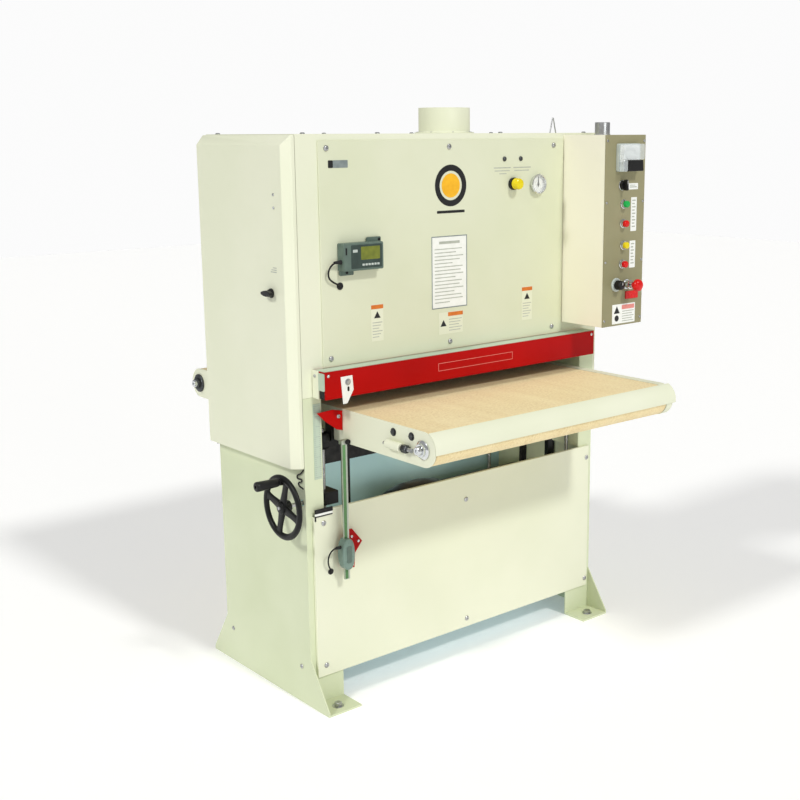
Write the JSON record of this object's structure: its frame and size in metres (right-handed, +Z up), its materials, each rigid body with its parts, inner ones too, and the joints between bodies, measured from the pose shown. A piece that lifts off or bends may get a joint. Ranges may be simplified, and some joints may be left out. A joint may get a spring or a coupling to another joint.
{
  "type": "wide-belt drum sander",
  "caption": "Floor-standing drum sander: a wide abrasive belt over a driven contact drum in a closed head, above a feed table raised by a handwheel and lift screws.",
  "frame": {"origin": "on the floor, under the middle of the bounding box", "axes": "+Z up, +Y from the operator's side to the outfeed side, +X to the operator's right"},
  "size_m": [1.381, 1.304, 1.753],
  "materials": {
    "cream_paint": "satin ivory powder coat",
    "olive_paint": "satin olive panel",
    "red_paint": "gloss safety red",
    "black_paint": "satin black",
    "scale_green": "green scale strip",
    "steel": "machined",
    "roller_aluminium": "turned",
    "cast": "as cast, painted",
    "black_rubber": "ground rubber covering",
    "feed_belt": "tan rough-top feed belt",
    "abrasive_cloth": "grit on cloth backing",
    "black_plastic": "moulded",
    "green_plastic": "moulded",
    "red_plastic": "moulded",
    "yellow_plastic": "moulded",
    "readout_plastic": "moulded"
  },
  "bodies": {
    "frame": {"left_side_frame": "cream_paint", "right_side_frame": "cream_paint", "base_pan": "cream_paint", "base_front_panel": "cream_paint", "main_motor": "black_paint", "drive_belts": "black_rubber", "head_shell": "cream_paint", "front_cover_plate": "cream_paint", "right_side_cover": "cream_paint", "dust_port": "cream_paint", "head_beam": "cast", "drum_bearing_left": "cast", "tension_cylinder": "steel", "abrasive_belt": "abrasive_cloth", "control_box": "cream_paint", "control_plate": "olive_paint", "pressure_gauge": "steel", "readout_box": "readout_plastic", "readout_cable": "black_plastic", "scale_reader": "red_paint", "scale_cable": "black_plastic", "lift_gearbox": "cast"},
    "table": {"table_bed": "steel", "table_left_plate": "cream_paint", "table_right_plate": "cream_paint", "front_bar": "cream_paint", "conveyor_belt": "feed_belt", "table_subframe": "black_paint", "feed_motor": "black_paint", "depth_pointer": "red_paint", "scale_bar": "scale_green"},
    "front_roller": {"front_roller": "roller_aluminium"},
    "rear_roller": {"rear_roller": "roller_aluminium"},
    "lift_screw_front_left": {"lift_screw_front_left": "steel"},
    "lift_screw_front_right": {"lift_screw_front_right": "steel"},
    "lift_screw_rear_left": {"lift_screw_rear_left": "steel"},
    "lift_screw_rear_right": {"lift_screw_rear_right": "steel"},
    "handwheel": {"handwheel": "black_paint"},
    "handwheel_handle": {"handwheel_handle": "black_plastic"},
    "drum": {"contact_drum": "black_rubber", "drum_pulley": "cast"},
    "motor_rotor": {"motor_pulley": "cast"},
    "tension_yoke": {"tension_yoke": "black_paint"},
    "tension_roller": {"tension_roller": "roller_aluminium"},
    "front_pressure_bar": {"front_pressure_bar": "steel"},
    "rear_pressure_bar": {"rear_pressure_bar": "steel"},
    "front_pinch_roller": {"front_pinch_roller": "black_rubber"},
    "rear_pinch_roller": {"rear_pinch_roller": "black_rubber"},
    "belt_door": {"belt_door": "cream_paint"},
    "door_latch": {"door_latch": "black_plastic"},
    "guard_bar": {"guard_bar": "red_paint"},
    "selector_switch": {"selector_switch": "black_plastic"},
    "speed_knob": {"speed_knob": "black_plastic"},
    "estop_button": {"estop_button": "red_plastic"},
    "sander_start_button": {"sander_start_button": "green_plastic"},
    "sander_stop_button": {"sander_stop_button": "red_plastic"},
    "feed_start_button": {"feed_start_button": "yellow_plastic"},
    "feed_stop_button": {"feed_stop_button": "red_plastic"},
    "regulator_knob": {"regulator_knob": "yellow_plastic"},
    "gauge_needle": {"gauge_needle": "black_plastic"}
  },
  "joints": [
    {"name": "handwheel_turn", "type": "hinge", "parent": "frame", "child": "handwheel", "pos_m": [-0.6035, -0.1945, 0.631], "axis": [1, 0, 0], "range_deg": [-8784, 1728]},
    {"name": "table_lift", "type": "slide", "parent": "frame", "child": "table", "axis": [0, 0, 1], "range_m": [-0.1225, 0.0245]},
    {"name": "lift_screw_front_left_turn", "type": "hinge", "parent": "frame", "child": "lift_screw_front_left", "pos_m": [-0.4445, -0.1695, 0.47], "axis": [0, 0, 1], "range_deg": [-8820, 1764]},
    {"name": "lift_screw_front_right_turn", "type": "hinge", "parent": "frame", "child": "lift_screw_front_right", "pos_m": [0.5805, -0.1695, 0.47], "axis": [0, 0, 1], "range_deg": [-8820, 1764]},
    {"name": "lift_screw_rear_left_turn", "type": "hinge", "parent": "frame", "child": "lift_screw_rear_left", "pos_m": [-0.4445, 0.2295, 0.47], "axis": [0, 0, 1], "range_deg": [-8820, 1764]},
    {"name": "lift_screw_rear_right_turn", "type": "hinge", "parent": "frame", "child": "lift_screw_rear_right", "pos_m": [0.5805, 0.2295, 0.47], "axis": [0, 0, 1], "range_deg": [-8820, 1764]},
    {"name": "handle_spin", "type": "hinge", "parent": "handwheel", "child": "handwheel_handle", "pos_m": [-0.6035, -0.1945, 0.708], "axis": [1, 0, 0], "continuous": true},
    {"name": "drum_spin", "type": "hinge", "parent": "frame", "child": "drum", "pos_m": [0.0635, 0.0235, 0.992], "axis": [1, 0, 0], "continuous": true},
    {"name": "motor_spin", "type": "hinge", "parent": "frame", "child": "motor_rotor", "pos_m": [0.5815, 0.0235, 0.4], "axis": [1, 0, 0], "continuous": true},
    {"name": "belt_tension", "type": "slide", "parent": "frame", "child": "tension_yoke", "axis": [0, 0, 1], "range_m": [-0.015, 0]},
    {"name": "tension_roller_spin", "type": "hinge", "parent": "tension_yoke", "child": "tension_roller", "pos_m": [0.0635, 0.0235, 1.556], "axis": [1, 0, 0], "continuous": true},
    {"name": "front_pressure_bar_lift", "type": "slide", "parent": "frame", "child": "front_pressure_bar", "axis": [0, 0, 1], "range_m": [0, 0.006], "stiffness_N_per_m": 3000, "springref_m": -0.01},
    {"name": "front_pinch_roller_spin", "type": "hinge", "parent": "front_pressure_bar", "child": "front_pinch_roller", "pos_m": [0.0635, -0.0915, 0.946], "axis": [1, 0, 0], "continuous": true},
    {"name": "rear_pressure_bar_lift", "type": "slide", "parent": "frame", "child": "rear_pressure_bar", "axis": [0, 0, 1], "range_m": [0, 0.006], "stiffness_N_per_m": 3000, "springref_m": -0.01},
    {"name": "rear_pinch_roller_spin", "type": "hinge", "parent": "rear_pressure_bar", "child": "rear_pinch_roller", "pos_m": [0.0635, 0.1385, 0.946], "axis": [1, 0, 0], "continuous": true},
    {"name": "rear_roller_spin", "type": "hinge", "parent": "table", "child": "rear_roller", "pos_m": [0.0635, 0.6025, 0.8465], "axis": [1, 0, 0], "continuous": true},
    {"name": "front_roller_spin", "type": "hinge", "parent": "table", "child": "front_roller", "pos_m": [0.0635, -0.598, 0.8465], "axis": [1, 0, 0], "continuous": true},
    {"name": "door_swing", "type": "hinge", "parent": "frame", "child": "belt_door", "pos_m": [-0.5425, 0.269, 1.204], "axis": [0, 0, 1], "range_deg": [-110, 0]},
    {"name": "door_latch_turn", "type": "hinge", "parent": "belt_door", "child": "door_latch", "pos_m": [-0.5785, -0.1285, 1.237], "axis": [1, 0, 0], "range_deg": [0, 90]},
    {"name": "guard_bar_swing", "type": "hinge", "parent": "frame", "child": "guard_bar", "pos_m": [0.0495, -0.2225, 1.014], "axis": [1, 0, 0], "range_deg": [-35, 3]},
    {"name": "selector_turn", "type": "hinge", "parent": "frame", "child": "selector_switch", "pos_m": [0.5795, -0.4045, 1.509], "axis": [0, 1, 0], "range_deg": [-45, 45]},
    {"name": "speed_knob_turn", "type": "hinge", "parent": "frame", "child": "speed_knob", "pos_m": [0.5615, -0.4045, 1.19], "axis": [0, 1, 0], "range_deg": [-135, 135]},
    {"name": "estop_push", "type": "slide", "parent": "frame", "child": "estop_button", "axis": [0, 1, 0], "range_m": [0, 0.006]},
    {"name": "sander_start_push", "type": "slide", "parent": "frame", "child": "sander_start_button", "axis": [0, 1, 0], "range_m": [0, 0.004], "stiffness_N_per_m": 400},
    {"name": "sander_stop_push", "type": "slide", "parent": "frame", "child": "sander_stop_button", "axis": [0, 1, 0], "range_m": [0, 0.004], "stiffness_N_per_m": 400},
    {"name": "feed_start_push", "type": "slide", "parent": "frame", "child": "feed_start_button", "axis": [0, 1, 0], "range_m": [0, 0.004], "stiffness_N_per_m": 400},
    {"name": "feed_stop_push", "type": "slide", "parent": "frame", "child": "feed_stop_button", "axis": [0, 1, 0], "range_m": [0, 0.004], "stiffness_N_per_m": 400},
    {"name": "regulator_knob_turn", "type": "hinge", "parent": "frame", "child": "regulator_knob", "pos_m": [0.2705, -0.2345, 1.518], "axis": [0, 1, 0], "range_deg": [-540, 540]},
    {"name": "gauge_needle_turn", "type": "hinge", "parent": "frame", "child": "gauge_needle", "pos_m": [0.3755, -0.2265, 1.514], "axis": [0, 1, 0], "range_deg": [-135, 135]}
  ],
  "couplings": [
    {"joint": "table_lift", "follows": "handwheel_turn", "m_per_rad": 0.00079577},
    {"joint": "lift_screw_front_left_turn", "follows": "handwheel_turn", "ratio": 1},
    {"joint": "lift_screw_front_right_turn", "follows": "handwheel_turn", "ratio": 1},
    {"joint": "lift_screw_rear_left_turn", "follows": "handwheel_turn", "ratio": 1},
    {"joint": "lift_screw_rear_right_turn", "follows": "handwheel_turn", "ratio": 1},
    {"joint": "motor_spin", "follows": "drum_spin", "ratio": 0.78571},
    {"joint": "tension_roller_spin", "follows": "drum_spin", "ratio": 1.2545},
    {"joint": "front_roller_spin", "follows": "rear_roller_spin", "ratio": 1}
  ]
}
